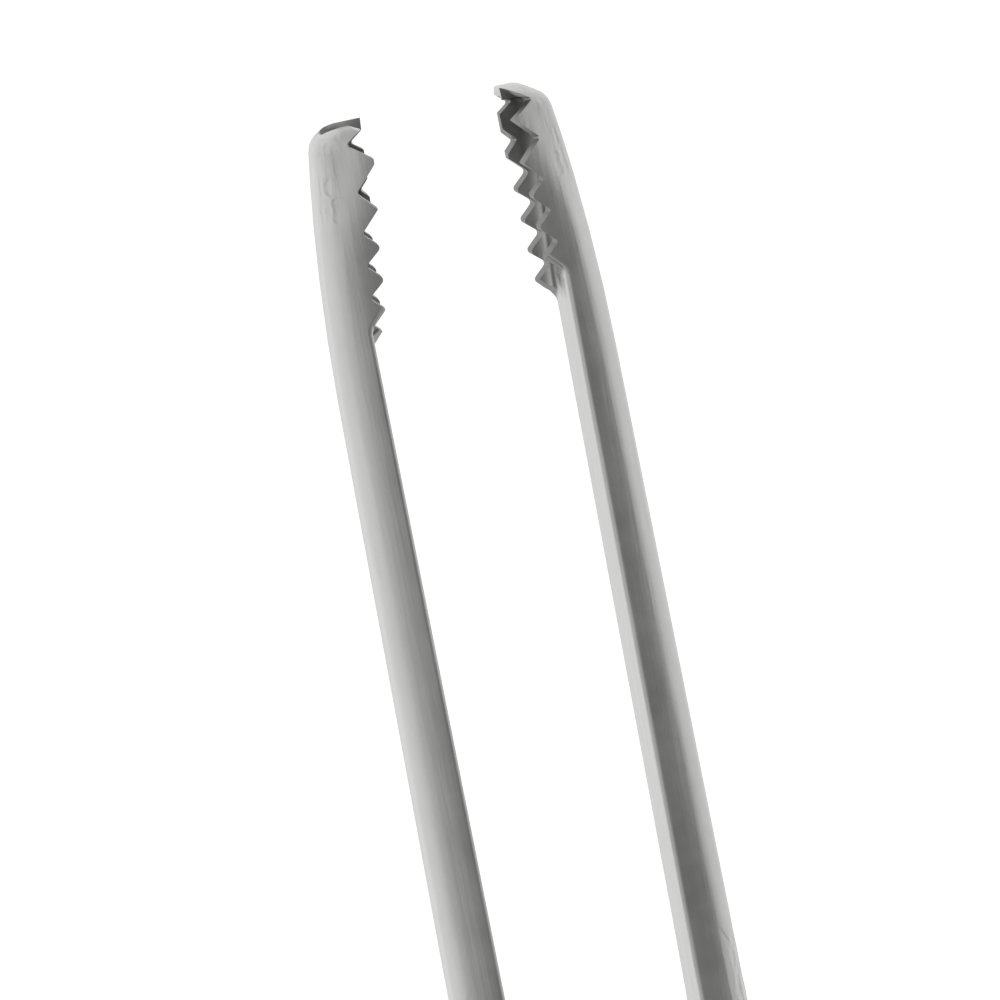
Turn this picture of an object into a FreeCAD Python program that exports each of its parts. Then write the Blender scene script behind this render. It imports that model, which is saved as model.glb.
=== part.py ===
import FreeCAD, Part
import math
import os
import re
import Sketcher
from FreeCAD import Placement, Rotation, Vector

# Thumb forceps with side-grasping toothed jaws, lying on its side.
# +Y runs from the heel to the jaw tips, X is the way the arms open, and +Z is up, across the width of the arms.
# Both arms are one forging design: the left arm is the right arm turned half a turn about the Y axis,
# with its teeth cut half a pitch further back, so that the two rows mesh when the jaws close.

# Driving sizes in millimetres and degrees
SIZES = {
    # Whole instrument
    "total_length": 120.0,
    "inner_gap": 6.4,
    "arm_thickness": 1.75,
    # Heel, where the arms are welded face to face
    "heel_thickness": 1.9,
    "heel_width": 5.4,
    "heel_corner": 2.2,
    "weld_length": 11.0,
    # Spring bend between the heel and the straight part of the arm
    "bend_from_heel": 36.0,
    "split_radius": 40.0,
    "bend_radius": 90.0,
    # Plan outline of the arm
    "plate_width": 9.4,
    "plate_rear": 36.0,
    "plate_front": 69.0,
    "plate_rear_radius": 60.0,
    "plate_front_radius": 35.0,
    "shoulder_foot": 84.5,
    "shoulder_radius": 60.0,
    "shank_width": 2.35,
    "nose_taper": 2.6,
    "nose_taper_radius": 10.0,
    "nose_width": 1.9,
    "nose_plan_radius": 0.8,
    # Edges of the forging
    "back_rounding": 0.62,
    "inner_rounding": 0.18,
    # Back of the shank and the jaw, seen from the side
    "shank_back_radius": 300.0,
    "curl_thickness": 1.25,
    "curl_centre": 5.2,
    "curl_angle": 7.4,
    "curl_radius": 66.0,
    "nose_drop": 0.5,
    "nose_corner": 0.72,
    "nose_flat": 0.2,
    "nose_crown": 0.8,
    # Tooth bed
    "jaw_length": 8.0,
    "base_rise": 0.53,
    "bed_allowance": 0.1,
    "right_nose_rise": 0.84,
    "left_nose_rise": 1.18,
    "ramp_foot": 6.6,
    "ramp_angle": 42.0,
    "ramp_skew": 31.0,
    "foot_radius": 0.4,
    # Hollow of each jaw
    "right_nose_wall": 0.45,
    "left_nose_wall": -0.1,
    "hollow_width": 1.3,
    "hollow_floor_radius": 0.5,
    "hollow_corner": 0.4,
    "hollow_reach": 7.0,
    "hollow_depth": 0.3,
    "hollow_tilt": 2.5,
    # Base teeth
    "base_start": 2.98,
    "tooth_pitch": 1.02,
    "tooth_depth": 0.57,
    "row_lean": 3.5,
    "valley_radius": 0.14,
    "crest_radius": 0.14,
    # Nose teeth
    "notch_lean": 14.3,
    "nose_pitch": 1.17,
    "second_notch_angle": 94.0,
    "second_notch_depth": 0.6,
    "right_nose_notch": 0.57,
    "left_nose_notch": 0.78,
    "nose_notch_angle": 74.0,
    "nose_notch_depth": 0.64,
    "rim_slope": 25.0,
    "rim_lean": 20.0,
    "rim_drop": 0.2,
    "notch_radius": 0.08,
    # Finger grip on the back of the thumb plate
    "groove_pitch": 3.2,
    "groove_depth": 0.24,
    "groove_floor": 0.8,
    "groove_flank": 45.0,
    "grooves_from_heel": 43.0,
}
BASE_VALLEYS = 5
GRIP_GROOVES = 6
# The nose notches lean mainly across the jaw and a little along it
NOTCH_LEAN_AXIS = Vector(-1, 2.2, 0)

# Lengths that follow from the driving sizes, as formulas of their names
DERIVED = {
    "tip_y": "total_length / 2",
    "heel_y": "-total_length / 2",
    "inner_x": "inner_gap / 2",
    "outer_x": "inner_gap / 2 + arm_thickness",
    "split_y": "heel_y + weld_length",
    "bend_y": "heel_y + bend_from_heel",
    "spread": "atan(inner_x / (bend_y - split_y))",
    "back_bend_y": "bend_y - arm_thickness * tan(spread / 2)",
    "back_run": "(outer_x - heel_thickness) / sin(spread)",
    "back_split_y": "back_bend_y - back_run * cos(spread)",
    "bed_end_y": "tip_y - jaw_length",
    "shank_back_y": "heel_y + shoulder_foot",
    "curl_y": "tip_y - curl_centre",
    "curl_x": "inner_x + curl_thickness",
    "nose_back_x": "curl_x - (curl_centre - nose_drop) * tan(curl_angle)",
    "above_teeth": "inner_x - 2 * left_nose_rise",
    "plate_half": "plate_width / 2",
    "shank_half": "shank_width / 2",
    "nose_half": "nose_width / 2",
    "heel_half": "heel_width / 2",
}

document = FreeCAD.newDocument("thumb_forceps")
sheet = document.addObject("Spreadsheet::Sheet", "sizes")
for row, (alias, size) in enumerate(SIZES.items(), start=1):
    sheet.set(f"A{row}", alias)
    sheet.set(f"B{row}", str(size))
    sheet.setAlias(f"B{row}", alias)
document.recompute()


def formula(text):
    """Spell a formula of size names out as the spreadsheet's cells."""

    def spell(match):
        word = match.group(0)
        if word in DERIVED:
            return "(" + formula(DERIVED[word]) + ")"
        return "sizes." + word if word in SIZES else word

    return re.sub(r"[a-z_]+", spell, text)


def value(text):
    """The number that a formula gives now."""
    result = sheet.evalExpression(formula(text))
    return float(getattr(result, "Value", result))


def plane(body, role):
    """One of the body's own origin planes."""
    return next(item for item in body.Origin.OriginFeatures if item.Role == role)


def new_sketch(body, name, role):
    sketch = body.newObject("Sketcher::SketchObject", name)
    sketch.AttachmentSupport = [(plane(body, role), "")]
    sketch.MapMode = "FlatFace"
    return sketch


def bind(sketch, constraint, name, text):
    """Add a sized constraint and tie it to its formula."""
    index = sketch.addConstraint(constraint)
    sketch.renameConstraint(index, name)
    sketch.setExpression(f"Constraints.{name}", formula(text))


def pin_point(sketch, geometry, end, name, across, along):
    bind(sketch, Sketcher.Constraint("DistanceX", geometry, end, value(across)), name + "_x", across)
    bind(sketch, Sketcher.Constraint("DistanceY", geometry, end, value(along)), name + "_y", along)


def outline(sketch, corners, name="corner"):
    """Draw a closed outline through corners given as (across, along, rounding) formulas."""
    count = len(corners)
    points = [Vector(value(across), value(along), 0) for across, along, rounding in corners]
    arrive, leave, centres = [], [], []
    for i, (across, along, rounding) in enumerate(corners):
        back = (points[i - 1] - points[i]).normalize()
        ahead = (points[(i + 1) % count] - points[i]).normalize()
        radius = value(rounding) if rounding else 0.0
        half_angle = back.getAngle(ahead) / 2
        trim = radius / math.tan(half_angle)
        arrive.append(points[i] + back * trim)
        leave.append(points[i] + ahead * trim)
        bisector = (back + ahead).normalize() if rounding else Vector()
        centres.append(points[i] + bisector * (radius / math.sin(half_angle)))
    edges = [
        sketch.addGeometry(Part.LineSegment(leave[i], arrive[(i + 1) % count]), False) for i in range(count)
    ]
    for i, (across, along, rounding) in enumerate(corners):
        label = f"{name}_{i}"
        before, after = edges[i - 1], edges[i]
        if not rounding:
            sketch.addConstraint(Sketcher.Constraint("Coincident", before, 2, after, 1))
            pin_point(sketch, after, 1, label, across, along)
            continue
        turn = (points[i] - points[i - 1]).cross(points[(i + 1) % count] - points[i]).z
        first, last = (arrive[i], leave[i]) if turn > 0 else (leave[i], arrive[i])
        start, end = (1, 2) if turn > 0 else (2, 1)
        circle = Part.Circle(centres[i], Vector(0, 0, 1), value(rounding))
        arc = sketch.addGeometry(
            Part.ArcOfCircle(circle, circle.parameter(first), circle.parameter(last)), False
        )
        sketch.addConstraint(Sketcher.Constraint("Tangent", before, 2, arc, start))
        sketch.addConstraint(Sketcher.Constraint("Tangent", arc, end, after, 1))
        bind(sketch, Sketcher.Constraint("Radius", arc, value(rounding)), label + "_radius", rounding)
        corner = sketch.addGeometry(Part.Point(points[i]), True)
        pin_point(sketch, corner, 1, label, across, along)
        sketch.addConstraint(Sketcher.Constraint("PointOnObject", corner, 1, before))
        sketch.addConstraint(Sketcher.Constraint("PointOnObject", corner, 1, after))


def cut(body, sketch, name):
    """Pocket the sketch right through the body, to both sides of its plane."""
    pocket = body.newObject("PartDesign::Pocket", name)
    pocket.Profile = sketch
    pocket.Type = "ThroughAll"
    pocket.Midplane = True
    return pocket


def row_of(body, feature, axis_sketch, name, count, pitch):
    """Repeat a cut along the Y axis of its sketch, towards the jaws."""
    document.recompute()
    pattern = body.newObject("PartDesign::LinearPattern", name)
    pattern.Originals = [feature]
    pattern.Direction = (axis_sketch, ["V_Axis"])
    pattern.Length = 1
    pattern.Occurrences = count
    pattern.setExpression("Length", formula(f"{pitch} * {count - 1}"))
    body.Tip = pattern
    return pattern


def notch(body, name, from_tip, rise, angle, lean):
    """Cut one V notch across both walls, deeper on the side that it leans to."""
    sketch = new_sketch(body, name + "_profile", "XY_Plane")
    sketch.AttachmentOffset = Placement(Vector(), Rotation(NOTCH_LEAN_AXIS, value("notch_lean")))
    sketch.setExpression("AttachmentOffset.Base.x", formula(f"inner_x - ({rise})"))
    sketch.setExpression("AttachmentOffset.Base.y", formula(f"tip_y - ({from_tip})"))
    sketch.setExpression("AttachmentOffset.Rotation.Angle", formula(lean))
    outline(sketch, [
        ("0", "0", "notch_radius"),
        ("-2 * left_nose_rise", f"2 * left_nose_rise * tan({angle} / 2)", None),
        ("-2 * left_nose_rise", f"-2 * left_nose_rise * tan({angle} / 2)", None),
    ])
    return cut(body, sketch, name)


def make_arm(label, side_of_body, tooth_shift, nose_notch, nose_rise, nose_wall):
    """Build one arm as the right-hand one; side_of_body is -1 for the arm that is then turned over."""
    body = document.addObject("PartDesign::Body", label)
    body.Label = label

    # Side profile of the forging: heel, spring bend, straight arm, curled jaw with its raised tooth bed
    side = new_sketch(body, "side_profile", "XY_Plane")
    outline(side, [
        ("0", "heel_y", None),
        ("heel_thickness", "heel_y", None),
        ("heel_thickness", "back_split_y", "split_radius"),
        ("outer_x", "back_bend_y", "bend_radius + arm_thickness"),
        ("outer_x", "shank_back_y", "shank_back_radius"),
        ("curl_x", "curl_y", "curl_radius"),
        ("nose_back_x", "tip_y - nose_drop", "nose_corner"),
        ("inner_x - nose_flat", "tip_y", "nose_crown"),
        (f"inner_x - {nose_rise}", "tip_y", None),
        ("inner_x - base_rise - bed_allowance", "bed_end_y", None),
        ("inner_x", "bed_end_y", None),
        ("inner_x", "bend_y", "bend_radius"),
        ("0", "split_y", "split_radius"),
    ])
    forging = body.newObject("PartDesign::Pad", "forging")
    forging.Profile = side
    forging.Midplane = True
    forging.setExpression("Length", formula("plate_width + 2"))

    # Plan outline: what lies outside it is trimmed away
    plan = new_sketch(body, "plan_outline", "YZ_Plane")
    half = [
        ("heel_y", "heel_half", "heel_corner"),
        ("heel_y + plate_rear", "plate_half", "plate_rear_radius"),
        ("heel_y + plate_front", "plate_half", "plate_front_radius"),
        ("heel_y + shoulder_foot", "shank_half", "shoulder_radius"),
        ("tip_y - nose_taper", "shank_half", "nose_taper_radius"),
        ("tip_y", "nose_half", "nose_plan_radius"),
    ]
    other_half = [(along, f"-({across})", rounding) for along, across, rounding in reversed(half)]
    outline(plan, half + other_half, "edge")
    outline(plan, [
        ("heel_y - 5", "plate_width", None),
        ("tip_y + 5", "plate_width", None),
        ("tip_y + 5", "-plate_width", None),
        ("heel_y - 5", "-plate_width", None),
    ], "frame")
    cut(body, plan, "plan_trim")

    # The foot of the tooth bed runs slantwise across the arm, so one row has a tooth more than the other
    ramp = new_sketch(body, "ramp_profile", "XY_Plane")
    foot = f"(ramp_foot + {tooth_shift} * tooth_pitch)"
    ramp.AttachmentOffset = Placement(Vector(), Rotation(Vector(1, 0, 0), value("ramp_skew")))
    ramp.setExpression("AttachmentOffset.Base.y", formula(f"tip_y - {foot}"))
    ramp.setExpression("AttachmentOffset.Rotation.Angle", formula(f"{-side_of_body} * ramp_skew"))
    outline(ramp, [
        ("inner_x", "-jaw_length / 2", None),
        ("inner_x", "0", "foot_radius"),
        ("above_teeth", "2 * left_nose_rise * tan(ramp_angle)", None),
        ("above_teeth", "-jaw_length / 2", None),
    ])
    cut(body, ramp, "ramp_cut")

    # The back is rounded all the way round the nose and the heel, the inner edges are only broken
    soften(body, "inner_rounding", "inner_rounding",
           lambda normal, middle: normal.x < -0.5 and middle.y < value("bed_end_y"))
    soften(body, "back_rounding", "back_rounding", lambda normal, middle: normal.x > 0.5)

    # The hollow leaves two side walls and, on the right jaw, a nose wall; its floor climbs and runs out in the shank
    hollow = new_sketch(body, "hollow_section", "XZ_Plane")
    hollow.AttachmentOffset = Placement(Vector(), Rotation(Vector(0, 1, 0), value("hollow_tilt")))
    hollow.setExpression("AttachmentOffset.Base.x", formula("inner_x"))
    hollow.setExpression("AttachmentOffset.Base.z", formula(f"-(tip_y - {nose_wall})"))
    hollow.setExpression("AttachmentOffset.Rotation.Angle", formula("-1 * hollow_tilt"))
    outline(hollow, [
        ("hollow_depth", "hollow_width / 2", "hollow_floor_radius"),
        ("hollow_depth", "-hollow_width / 2", "hollow_floor_radius"),
        ("-2 * left_nose_rise", "-hollow_width / 2", None),
        ("-2 * left_nose_rise", "hollow_width / 2", None),
    ])
    scoop = body.newObject("PartDesign::Pocket", "hollow")
    scoop.Profile = hollow
    scoop.setExpression("Length", formula("hollow_reach"))
    scoop.Reversed = True
    document.recompute()
    if value(nose_wall) > 0:
        front = next(face for face in scoop.Shape.Faces if on_plane(face, hollow.Placement))
        rim = min(edge.CenterOfMass.x for edge in front.Edges)
        fillet(body, "hollow_front", "hollow_corner", [
            number for number, edge in enumerate(scoop.Shape.Edges, start=1)
            if any(edge.isSame(border) for border in front.Edges) and edge.CenterOfMass.x > rim + 1e-3
        ])

    # Base teeth: one zigzag cut across both walls, with rounded crests and valleys
    def bed_line(from_tip):
        return f"(-base_rise - ({nose_rise} - base_rise) * (1 - ({from_tip}) / jaw_length))"

    flank = "(tooth_pitch * left_nose_rise / tooth_depth)"
    zigzag = []
    for k in range(BASE_VALLEYS):
        valley = f"base_start + ({tooth_shift} + {k}) * tooth_pitch"
        crest = f"({valley} + tooth_pitch / 2)"
        zigzag.append((f"{bed_line(valley)} + tooth_depth", f"-({valley})", "valley_radius"))
        if k < BASE_VALLEYS - 1:
            zigzag.append((bed_line(crest), f"-{crest}", "crest_radius"))
    last = zigzag[-1][1]
    teeth = new_sketch(body, "base_teeth_profile", "XY_Plane")
    teeth.AttachmentOffset = Placement(Vector(), Rotation(Vector(0, 1, 0), value("row_lean")))
    teeth.setExpression("AttachmentOffset.Base.x", formula("inner_x"))
    teeth.setExpression("AttachmentOffset.Base.y", formula("tip_y"))
    teeth.setExpression("AttachmentOffset.Rotation.Angle", formula(f"{side_of_body} * row_lean"))
    outline(teeth, [("-2 * left_nose_rise", f"{zigzag[0][1]} + {flank}", None)] + zigzag
            + [("-2 * left_nose_rise", f"{last} - {flank}", None)])
    cut(body, teeth, "base_teeth")

    # Nose teeth: deeper notches that lean to one side of the jaw
    lean = f"{side_of_body} * notch_lean"
    notch(body, "nose_notch", nose_notch, f"{nose_rise} - nose_notch_depth", "nose_notch_angle", lean)
    notch(body, "second_notch", f"base_start + {tooth_shift} * tooth_pitch - nose_pitch",
          f"{nose_rise} - second_notch_depth", "second_notch_angle", lean)

    # The open nose is filed down on one side, which leaves the other wall standing taller
    if value(nose_wall) < 0:
        rim = new_sketch(body, "rim_profile", "XY_Plane")
        rim.AttachmentOffset = Placement(Vector(), Rotation(Vector(1, 0, 0), value("rim_lean")))
        rim.setExpression("AttachmentOffset.Base.x", formula(f"inner_x - {nose_rise}"))
        rim.setExpression("AttachmentOffset.Base.y", formula("tip_y - rim_drop"))
        rim.setExpression("AttachmentOffset.Rotation.Angle", formula(f"{side_of_body} * rim_lean"))
        outline(rim, [
            (f"-{nose_rise}", f"-{nose_rise} * tan(rim_slope)", None),
            (f"4 * {nose_rise}", f"4 * {nose_rise} * tan(rim_slope)", None),
            (f"-{nose_rise}", f"4 * {nose_rise} * tan(rim_slope)", None),
        ])
        cut(body, rim, "rim_cut")

    # Finger grip: shallow flat-bottomed grooves across the back of the thumb plate
    groove = new_sketch(body, "groove_profile", "XY_Plane")
    groove.setExpression("AttachmentOffset.Base.x", formula("outer_x"))
    groove.setExpression("AttachmentOffset.Base.y", formula("heel_y + grooves_from_heel"))
    outline(groove, [
        ("-groove_depth", "groove_floor / 2", None),
        ("-groove_depth", "-groove_floor / 2", None),
        ("groove_depth", "-groove_floor / 2 - 2 * groove_depth * tan(groove_flank)", None),
        ("groove_depth", "groove_floor / 2 + 2 * groove_depth * tan(groove_flank)", None),
    ])
    row_of(body, cut(body, groove, "grip_groove"), groove, "grip_grooves", GRIP_GROOVES, "groove_pitch")
    return body


def on_plane(face, placement):
    """Whether a face lies in the XY plane of a placement."""
    normal = placement.Rotation.multVec(Vector(0, 0, 1))
    return all(abs((corner.Point - placement.Base).dot(normal)) < 1e-5 for corner in face.Vertexes)


def fillet(body, name, radius, numbers):
    """Round the numbered edges of the body as it stands."""
    base = body.Tip
    rounding = body.newObject("PartDesign::Fillet", name)
    rounding.Base = (base, [f"Edge{number}" for number in numbers])
    rounding.setExpression("Radius", formula(radius))
    document.recompute()


def soften(body, name, radius, wanted):
    """Fillet the edges between the plan outline's walls and the faces of the side profile."""
    document.recompute()
    shape = body.Tip.Shape
    chosen = []
    for number, edge in enumerate(shape.Edges, start=1):
        middle = edge.valueAt((edge.FirstParameter + edge.LastParameter) / 2)
        normals = []
        for face in shape.Faces:
            if any(edge.isSame(border) for border in face.Edges):
                normals.append(face.normalAt(*face.Surface.parameter(middle)))
        profile_faces = [normal for normal in normals if abs(normal.x) > 1e-3 and abs(normal.z) < 1e-3]
        if len(normals) == 2 and len(profile_faces) == 1 and wanted(profile_faces[0], middle):
            chosen.append(number)
    fillet(body, name, radius, chosen)


right_arm = make_arm("right_arm", 1, 0, "right_nose_notch", "right_nose_rise", "right_nose_wall")
left_arm = make_arm("left_arm", -1, 0.5, "left_nose_notch", "left_nose_rise", "left_nose_wall")
lift = formula("plate_half")
for arm, turn in ((right_arm, 0), (left_arm, 180)):
    arm.Placement = Placement(Vector(), Rotation(Vector(0, 1, 0), turn))
    arm.setExpression("Placement.Base.z", lift)
document.recompute()

failed = [item.Label for item in document.Objects if {"Invalid", "Error"} & set(item.State)]
if failed:
    raise RuntimeError("failed objects: " + ", ".join(failed))
os.makedirs("parts", exist_ok=True)
for arm in (right_arm, left_arm):
    if arm.Shape.isNull() or not arm.Shape.isValid() or len(arm.Shape.Solids) != 1:
        raise RuntimeError(arm.Label + " is not one valid solid")
for arm in (right_arm, left_arm):
    arm.Shape.exportStep(f"parts/{arm.Label}.step")
    print(arm.Label, round(arm.Shape.Volume, 2), "mm3", arm.Shape.BoundBox)
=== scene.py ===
# %% [markdown]
# # Thumb forceps with hollow toothed jaws
# Two slim steel arms are welded together at the heel and spring apart towards the tips. The shapes come from
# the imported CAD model, whose faces already carry smooth normals. What is left for Blender is what makes steel
# look like steel: its satin finish, the bright surroundings that it mirrors, and the camera.

# %% Load the frame
import math

import bmesh
import bpy
from mathutils import Matrix, Vector

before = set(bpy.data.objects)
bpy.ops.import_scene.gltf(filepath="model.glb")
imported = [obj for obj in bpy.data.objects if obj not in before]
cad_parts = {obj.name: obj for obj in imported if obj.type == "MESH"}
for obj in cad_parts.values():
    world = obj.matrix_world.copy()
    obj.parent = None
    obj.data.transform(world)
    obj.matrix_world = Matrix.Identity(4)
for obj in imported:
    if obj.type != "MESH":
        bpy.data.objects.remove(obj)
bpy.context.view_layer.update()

scene = bpy.context.scene
MM = 0.001

# %% [markdown]
# ## Helpers for colours and nodes
# Colours are chosen as they look on a screen, in sRGB hex, while Blender's sockets want linear light, so one
# function turns the one into the other. A second function adds a node, sets it up and links it, so that each
# material below reads as a list of its layers. Two more write out sums on the positions that a material
# reads.

# %% Colour and node helpers
def linear(hex_colour):
    """An sRGB hex colour as linear red, green, blue and alpha."""
    channels = [int(hex_colour[i:i + 2], 16) / 255 for i in (1, 3, 5)]
    return tuple(c / 12.92 if c <= 0.04045 else ((c + 0.055) / 1.055) ** 2.4 for c in channels) + (1.0,)


def add_node(tree, kind, links=None, settings=None, **inputs):
    """Add a node, set its properties and input values, and link outputs of other nodes to its inputs."""
    node = tree.nodes.new(kind)
    for name, setting in (settings or {}).items():
        setattr(node, name, setting)
    for name, setting in inputs.items():
        node.inputs[name.replace("_", " ")].default_value = setting
    for name, output in (links or {}).items():
        tree.links.new(output, node.inputs[name])
    return node


def ramp_stops(node, stops):
    """Place the stops of a colour ramp, given as (position, grey level)."""
    elements = node.color_ramp.elements
    while len(elements) < len(stops):
        elements.new(0.5)
    for element, (position, grey) in zip(elements, stops):
        element.position = position
        element.color = (grey, grey, grey, 1.0)


def combine(tree, operation, first, second):
    """Work out one number from an output and a second output or plain number."""
    plain = isinstance(second, float)
    links = {0: first} if plain else {0: first, 1: second}
    node = add_node(tree, "ShaderNodeMath", links, {"operation": operation})
    if plain:
        node.inputs[1].default_value = second
    return node.outputs["Value"]


def absolute(tree, value):
    return add_node(tree, "ShaderNodeMath", {0: value}, {"operation": "ABSOLUTE"}).outputs["Value"]


red = linear("#BEBEBD")[0]
print("#BEBEBD is", round(red, 3), "in linear light")

# %% [markdown]
# ## Satin stainless steel
# Surgical forceps are forged from martensitic stainless steel, ground to shape, brushed along their length
# and then blasted with fine glass beads. The beads leave a close field of tiny dents, which spreads every
# reflection into a soft sheen. The grinding underneath still shows as faint lengthwise waves, and handling
# leaves cloudy patches that are a little smoother. Three layers of noise give those three things, each scaled
# from its real size.

# %% Real sizes of the finish
BEAD_DENT = 0.09 * MM  # real dents are near 0.05 mm; drawn a little coarser so that they still show
DENT_DEPTH = 0.006 * MM
GRIND_WIDTH = 0.35 * MM  # width of a wave left by the grinding belt
GRIND_LENGTH = 7.0 * MM
GRIND_DEPTH = 0.03 * MM
CLOUD = 1.6 * MM  # size of a smoother patch
print("grinding waves", GRIND_LENGTH / GRIND_WIDTH, "times as long as wide")

# %% [markdown]
# ### The crowned sides
# The belt that ground the sides of the arms didn't leave them flat. Each side has a ridge near the gap and
# falls away from it towards the back of the arm, ever more steeply, so that it shades softly from dark to
# light. The solids have flat sides with a rounded back edge, so this fall, about half a millimetre at that
# edge, is only shown and not cut. A height map could show it, but on the thin triangles beside the rounded
# edge a height map left dark wrinkles. So the smooth normal itself is tilted outwards, by the slope that the
# crown has at that place. The arms curl inwards, so the ridge moves in with them, and at the nose it moves
# further, because the nose was ground round.

# %% Crown of the sides
CROWN = 0.5  # slope of a side 1 mm behind its ridge, and twice as steep at 2 mm
LEFT_RIDGE = 3.20  # mm from the middle of the gap to the ridge; ground by hand, so the two arms differ
RIGHT_RIDGE = 3.70
CURL_FROM = 24.5 * MM
CURL_SHIFT = 0.5  # mm that the ridge has moved in where the nose starts
NOSE_FROM = 54.8 * MM
NOSE_TO = 59.6 * MM
NOSE_SHIFT = 1.2  # mm that it moves further on the nose
MIDDLE_BAND = 1.0 * MM  # nothing lies this near to the middle of the gap


def crowned_sides(tree, sideways, along, facing_up):
    """Tilt of the crown: it grows from the ridge to the back of the arm, and always leans outwards."""
    curl = add_node(tree, "ShaderNodeMapRange", {"Value": along},
                    From_Min=CURL_FROM, From_Max=NOSE_FROM, To_Min=0.0, To_Max=CURL_SHIFT)
    nose = add_node(tree, "ShaderNodeMapRange", {"Value": along}, {"interpolation_type": "SMOOTHSTEP"},
                    From_Min=NOSE_FROM, From_Max=NOSE_TO, To_Min=0.0, To_Max=NOSE_SHIFT)
    ridge = add_node(tree, "ShaderNodeMapRange", {"Value": sideways},
                     From_Min=-MIDDLE_BAND, From_Max=MIDDLE_BAND, To_Min=LEFT_RIDGE, To_Max=RIGHT_RIDGE)
    from_middle = combine(tree, "DIVIDE", absolute(tree, sideways), MM)
    shift = combine(tree, "ADD", curl.outputs["Result"], nose.outputs["Result"])
    past_ridge = combine(tree, "ADD", combine(tree, "SUBTRACT", from_middle, ridge.outputs["Result"]), shift)
    slope = combine(tree, "MULTIPLY", combine(tree, "MAXIMUM", past_ridge, 0.0), CROWN)
    outwards = add_node(tree, "ShaderNodeMath", {0: sideways}, {"operation": "SIGN"})
    leaning = combine(tree, "MULTIPLY", slope, outwards.outputs["Value"])
    tilt = combine(tree, "MULTIPLY", leaning, facing_up)
    return add_node(tree, "ShaderNodeCombineXYZ", {"X": tilt}).outputs["Vector"]


print("ridges at", LEFT_RIDGE, "and", RIGHT_RIDGE, "mm, slope", CROWN, "per mm")

# %% [markdown]
# ### Painted shade between the teeth and in the hollows
# Between the teeth and inside the hollows the steel is painted darker. This is painted shade for the light
# that does not reach into these recesses. Each mask is 1 where such a face lies and 0 elsewhere. It is made
# of bounds on the position, taken from the CAD sizes, and on how far the face looks up. The bounds are soft,
# so that no edge is drawn where the metal has none.

# %% Masks for the painted shade
INNER_FACE = 3.2 * MM  # from the middle of the gap to the inner face of a shank
MID_HEIGHT = 4.7 * MM  # height of the middle of the jaws
HOLLOW_HALF = 0.70 * MM
HOLLOW_FLOOR = 3.52 * MM
HOLLOW_FROM = 52.9 * MM
RUNOUT = 1.2 * MM  # length over which the hollow fades in
TEETH_FROM = 52.3 * MM
RAMP = 0.5 * MM
LIFT_FROM = 59.1 * MM
LIFT_TO = 59.3 * MM
NOSE_LIFT = 0.5 * MM  # how much higher the floor of the hollow lies at the nose
SOFT = 0.05 * MM  # width of a soft bound


def fade(tree, value, low, high):
    """0 below low and 1 above high, or the other way round when low is the larger."""
    flipped = low > high
    return add_node(tree, "ShaderNodeMapRange", {"Value": value},
                    From_Min=min(low, high), From_Max=max(low, high),
                    To_Min=1.0 if flipped else 0.0, To_Max=0.0 if flipped else 1.0).outputs["Result"]


def painted_shade_masks(tree, sideways, along, height, facing_up):
    """Masks for painted shade: the walls inside the hollows, and the faces cut across between the teeth."""
    from_middle = absolute(tree, sideways)
    from_mid_height = absolute(tree, combine(tree, "SUBTRACT", height, MID_HEIGHT))
    nose_lift = add_node(tree, "ShaderNodeMapRange", {"Value": along},
                         From_Min=LIFT_FROM, From_Max=LIFT_TO, To_Min=0.0, To_Max=NOSE_LIFT)
    depth = combine(tree, "ADD", from_middle, nose_lift.outputs["Result"])

    between_walls = fade(tree, from_mid_height, HOLLOW_HALF + 0.02 * MM, HOLLOW_HALF)
    above_floor = fade(tree, depth, HOLLOW_FLOOR, HOLLOW_FLOOR - SOFT)
    past_runout = fade(tree, along, HOLLOW_FROM, HOLLOW_FROM + RUNOUT)
    in_hollow = combine(tree, "MULTIPLY", combine(tree, "MULTIPLY", between_walls, above_floor), past_runout)

    before_rim = fade(tree, along, NOSE_TO, NOSE_TO - SOFT)
    open_nose = fade(tree, sideways, 0.1 * MM, -0.1 * MM)  # only the left jaw is open at the nose
    in_reach = combine(tree, "MAXIMUM", before_rim, open_nose)
    looks_up = fade(tree, facing_up, 0.4, 0.5)
    walls = combine(tree, "MULTIPLY", combine(tree, "MULTIPLY", in_hollow, looks_up), in_reach)

    in_teeth = fade(tree, from_middle, INNER_FACE, INNER_FACE - 0.06 * MM)
    past_foot = fade(tree, along, TEETH_FROM, TEETH_FROM + RAMP)
    toothed = combine(tree, "MAXIMUM", combine(tree, "MULTIPLY", in_teeth, past_foot), in_hollow)
    upright = fade(tree, facing_up, 0.8, 0.7)
    across = combine(tree, "MULTIPLY", combine(tree, "MULTIPLY", toothed, upright), before_rim)
    return walls, across


print("teeth from", TEETH_FROM / MM, "to", NOSE_TO / MM, "mm")

# %% [markdown]
# ### The layers together
# Stainless steel is a plain metal: no colour of its own but a light grey, and a roughness that the blasting
# set near 0.45. The clouds and the grinding waves move that roughness a little. The tilt of the crown comes
# first, and the waves and the dents are laid over it, as they were on the real arm.

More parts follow.
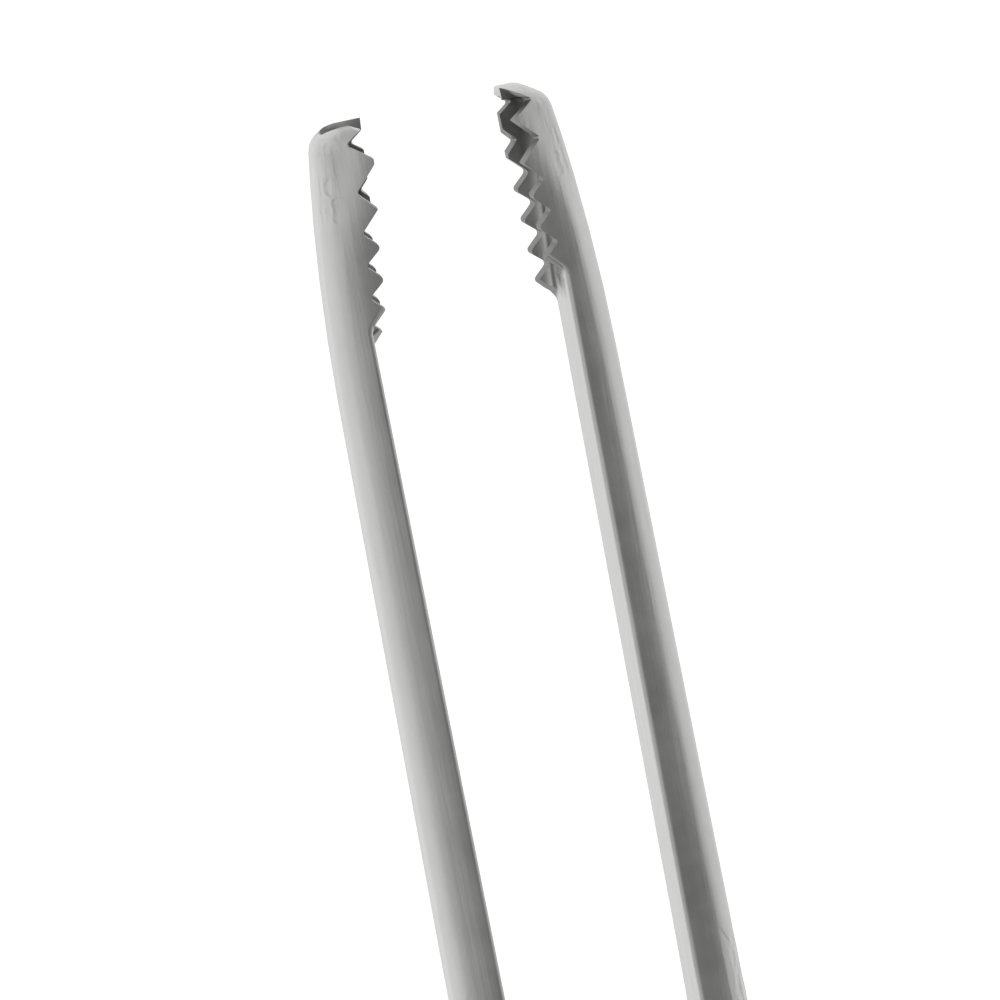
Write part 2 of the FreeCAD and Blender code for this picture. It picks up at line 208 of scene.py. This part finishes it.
# %% Satin steel on both arms
def satin_steel():
    material = bpy.data.materials.new("satin_stainless_steel_bead_blasted")
    material.use_nodes = True
    tree = material.node_tree
    tree.nodes.clear()
    coordinates = add_node(tree, "ShaderNodeTexCoord")
    place = coordinates.outputs["Object"]
    normal = coordinates.outputs["Normal"]
    at = add_node(tree, "ShaderNodeSeparateXYZ", {"Vector": place}).outputs
    facing_up = absolute(tree, add_node(tree, "ShaderNodeSeparateXYZ", {"Vector": normal}).outputs["Z"])
    crown_tilt = crowned_sides(tree, at["X"], at["Y"], facing_up)
    walls, across = painted_shade_masks(tree, at["X"], at["Y"], at["Z"], facing_up)
    lengthwise = add_node(tree, "ShaderNodeMapping", {"Vector": place},
                          Scale=(1.0, GRIND_WIDTH / GRIND_LENGTH, 1.0))
    grinding = add_node(tree, "ShaderNodeTexNoise", {"Vector": lengthwise.outputs["Vector"]},
                        Scale=1 / GRIND_WIDTH, Detail=3.0, Roughness=0.55).outputs["Fac"]
    dents = add_node(tree, "ShaderNodeTexNoise", {"Vector": place},
                     Scale=1 / BEAD_DENT, Detail=2.0, Roughness=0.5).outputs["Fac"]
    clouds = add_node(tree, "ShaderNodeTexNoise", {"Vector": place},
                      Scale=1 / CLOUD, Detail=4.0, Roughness=0.6).outputs["Fac"]

    # Patches handled more are a little smoother and a shade brighter
    sheen = add_node(tree, "ShaderNodeMapRange", {"Value": clouds},
                     From_Min=0.3, From_Max=0.7, To_Min=0.40, To_Max=0.50)
    streaks = add_node(tree, "ShaderNodeMapRange", {"Value": grinding},
                       From_Min=0.3, From_Max=0.7, To_Min=-0.03, To_Max=0.03)
    roughness = combine(tree, "ADD", sheen.outputs["Result"], streaks.outputs["Result"])
    tone = add_node(tree, "ShaderNodeMix", {"Factor": clouds}, {"data_type": "RGBA"})
    tone.inputs["A"].default_value = linear("#BEBEBD")
    tone.inputs["B"].default_value = linear("#D8D8D7")
    # Painted shade: the walls inside the hollows leave out the brighter clouds and stay at the darker grey.
    painted_hollow_shade = add_node(tree, "ShaderNodeMix", {"Factor": walls, "A": tone.outputs["Result"]},
                           {"data_type": "RGBA"})
    painted_hollow_shade.inputs["B"].default_value = linear("#BEBEBD")
    # Painted shade: the faces between the teeth are painted dark grey, #818180, where little light reaches
    # them.
    shade = add_node(tree, "ShaderNodeMix", {"Factor": across, "A": painted_hollow_shade.outputs["Result"]},
                     {"data_type": "RGBA"})
    shade.inputs["B"].default_value = linear("#818180")

    tilted = add_node(tree, "ShaderNodeVectorMath", {0: normal, 1: crown_tilt}, {"operation": "ADD"})
    unit = add_node(tree, "ShaderNodeVectorMath", {0: tilted.outputs["Vector"]}, {"operation": "NORMALIZE"})
    crown = add_node(tree, "ShaderNodeVectorTransform", {"Vector": unit.outputs["Vector"]},
                     {"vector_type": "NORMAL", "convert_from": "OBJECT", "convert_to": "WORLD"})
    waves = add_node(tree, "ShaderNodeBump", {"Height": grinding, "Normal": crown.outputs["Vector"]},
                     Strength=0.6, Distance=GRIND_DEPTH)
    pits = add_node(tree, "ShaderNodeBump", {"Height": dents, "Normal": waves.outputs["Normal"]},
                    Strength=0.5, Distance=DENT_DEPTH)
    steel = add_node(tree, "ShaderNodeBsdfPrincipled",
                     {"Base Color": shade.outputs["Result"], "Roughness": roughness,
                      "Normal": pits.outputs["Normal"]},
                     Metallic=1.0)
    add_node(tree, "ShaderNodeOutputMaterial", {"Surface": steel.outputs["BSDF"]})
    return material


steel = satin_steel()
for name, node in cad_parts.items():
    for slot in node.material_slots:
        slot.material = steel
    print(name, "faces", len(node.data.polygons), "finish", steel.name)

# %% [markdown]
# ## Floor
# The forceps lies on a sweep of matt-painted board, which scatters light evenly and shows no gloss. A plain
# white floor under plain light renders a light grey, so the floor also glows faintly for the camera and for
# the steel's reflections, just enough to come out white in the open. The rest of its brightness is real
# bounced light, so the soft shadow stays, though under such slim arms and such wide light it is faint.

# %% White floor
FLOOR_SIZE = 2.4
GLOW = 0.79


def white_floor():
    material = bpy.data.materials.new("matt_white_sweep")
    material.use_nodes = True
    tree = material.node_tree
    tree.nodes.clear()
    paint = add_node(tree, "ShaderNodeBsdfDiffuse", Color=linear("#E8E8E8"), Roughness=0.5)
    seen = add_node(tree, "ShaderNodeLightPath").outputs
    camera_or_gloss = combine(tree, "MAXIMUM", seen["Is Camera Ray"], seen["Is Glossy Ray"])
    looked_at = combine(tree, "MAXIMUM", camera_or_gloss, seen["Is Transmission Ray"])
    glow = add_node(tree, "ShaderNodeEmission", {"Strength": combine(tree, "MULTIPLY", looked_at, GLOW)},
                    Color=linear("#FFFFFF"))
    both = add_node(tree, "ShaderNodeAddShader", {0: paint.outputs["BSDF"], 1: glow.outputs["Emission"]})
    add_node(tree, "ShaderNodeOutputMaterial", {"Surface": both.outputs["Shader"]})
    return material


sheet = bmesh.new()
bmesh.ops.create_grid(sheet, x_segments=1, y_segments=1, size=FLOOR_SIZE / 2)
floor_mesh = bpy.data.meshes.new("white_sweep")
sheet.to_mesh(floor_mesh)
sheet.free()
floor = bpy.data.objects.new("white_sweep", floor_mesh)
scene.collection.objects.link(floor)
floor_mesh.materials.append(white_floor())
print("floor", FLOOR_SIZE, "m across, top at z =", 0.0)

# %% [markdown]
# ## Surroundings
# Steel shows its surroundings more than its own colour. The photograph's arms are bright where they face
# sideways and dark where they face up: a white tent stands round the forceps, open and dark overhead and a
# little to the right. The world is that tent, and it reads only the direction that a ray leaves in. The
# nearer that is to the opening, the darker it is. Two large soft lamps stand low at the left and the right.

# %% World
OPENING = Vector((0.28, -0.26, 0.92))  # where the tent is open and dark
TENT_LIGHT = [(0.0, 0.57), (0.34, 0.53), (0.55, 0.45), (0.72, 0.32), (0.86, 0.21), (0.95, 0.18)]


def white_tent():
    world = bpy.data.worlds.new("white_tent_with_dark_opening")
    world.use_nodes = True
    tree = world.node_tree
    tree.nodes.clear()
    direction = add_node(tree, "ShaderNodeTexCoord").outputs["Generated"]
    nearness = add_node(tree, "ShaderNodeVectorMath", {0: direction}, {"operation": "DOT_PRODUCT"})
    nearness.inputs[1].default_value = OPENING.normalized()
    walls = add_node(tree, "ShaderNodeValToRGB", {"Fac": nearness.outputs["Value"]})
    ramp_stops(walls, TENT_LIGHT)
    seen = add_node(tree, "ShaderNodeLightPath")
    shown = add_node(tree, "ShaderNodeMix", {
        "Factor": seen.outputs["Is Camera Ray"], "A": walls.outputs["Color"]}, {"data_type": "RGBA"})
    shown.inputs["B"].default_value = (1.0, 1.0, 1.0, 1.0)
    sky = add_node(tree, "ShaderNodeBackground", {"Color": shown.outputs["Result"]}, Strength=1.0)
    add_node(tree, "ShaderNodeOutputWorld", {"Surface": sky.outputs["Background"]})
    return world


scene.world = white_tent()
print("world", scene.world.name, "darkest towards", tuple(round(v, 2) for v in OPENING.normalized()))

# %% Lamps
LAMP_WIDTH = 0.40
LAMPS_AIM = (0.0, 0.045, 0.005)


def soft_lamp(name, place, watts):
    light = bpy.data.lights.new(name, "AREA")
    light.shape = "DISK"
    light.size = LAMP_WIDTH
    light.energy = watts
    lamp = bpy.data.objects.new(name, light)
    lamp.location = place
    lamp.rotation_euler = (Vector(LAMPS_AIM) - Vector(place)).to_track_quat("-Z", "Y").to_euler()
    scene.collection.objects.link(lamp)
    return lamp


left_lamp = soft_lamp("left_soft_lamp", (-0.45, 0.10, 0.22), 0.17)
right_lamp = soft_lamp("right_soft_lamp", (0.50, 0.00, 0.20), 0.25)
print("lamps", left_lamp.name, right_lamp.name)

# %% [markdown]
# ## Camera
# The photograph is a close view of the tip end. The camera looks down on the forceps with the tips leaning a
# little to the left, and it sees the left side and the tip end of every edge, so it stands slightly to the
# left and slightly beyond the jaws. How much the near rows of teeth shift against the far ones gives the
# distance, about 120 mm.

# %% Camera
TURNED = math.radians(9.3)  # how far the camera stands to the left
TIPPED = math.radians(14.0)  # how far it stands towards the tips
LEAN = math.radians(10.9)  # how far the arms lean to the left in the picture
DISTANCE = 120 * MM
TARGET = Vector((-0.05, 46.9, 4.7)) * MM
PIXELS_PER_MM = 31.0
IMAGE_SIDE = 1000

ahead = math.cos(TURNED)
towards = Vector((-math.sin(TURNED), ahead * math.sin(TIPPED), ahead * math.cos(TIPPED)))
level = Vector((0, 1, 0)).cross(towards).normalized()
upright = towards.cross(level)
right = level * math.cos(LEAN) - upright * math.sin(LEAN)
up = level * math.sin(LEAN) + upright * math.cos(LEAN)
camera_data = bpy.data.cameras.new("camera")
camera = bpy.data.objects.new("camera", camera_data)
scene.collection.objects.link(camera)
stand = Matrix((right, up, towards)).transposed().to_4x4()
stand.translation = TARGET + towards * DISTANCE
camera.matrix_world = stand
camera_data.sensor_width = 36.0
camera_data.lens = camera_data.sensor_width * DISTANCE / (IMAGE_SIDE / PIXELS_PER_MM * MM)
camera_data.clip_start = 0.002
camera_data.clip_end = 20.0
scene.camera = camera
scene.view_settings.view_transform = "Standard"
print("lens", round(camera_data.lens, 1), "mm at", [round(v, 4) for v in camera.location])
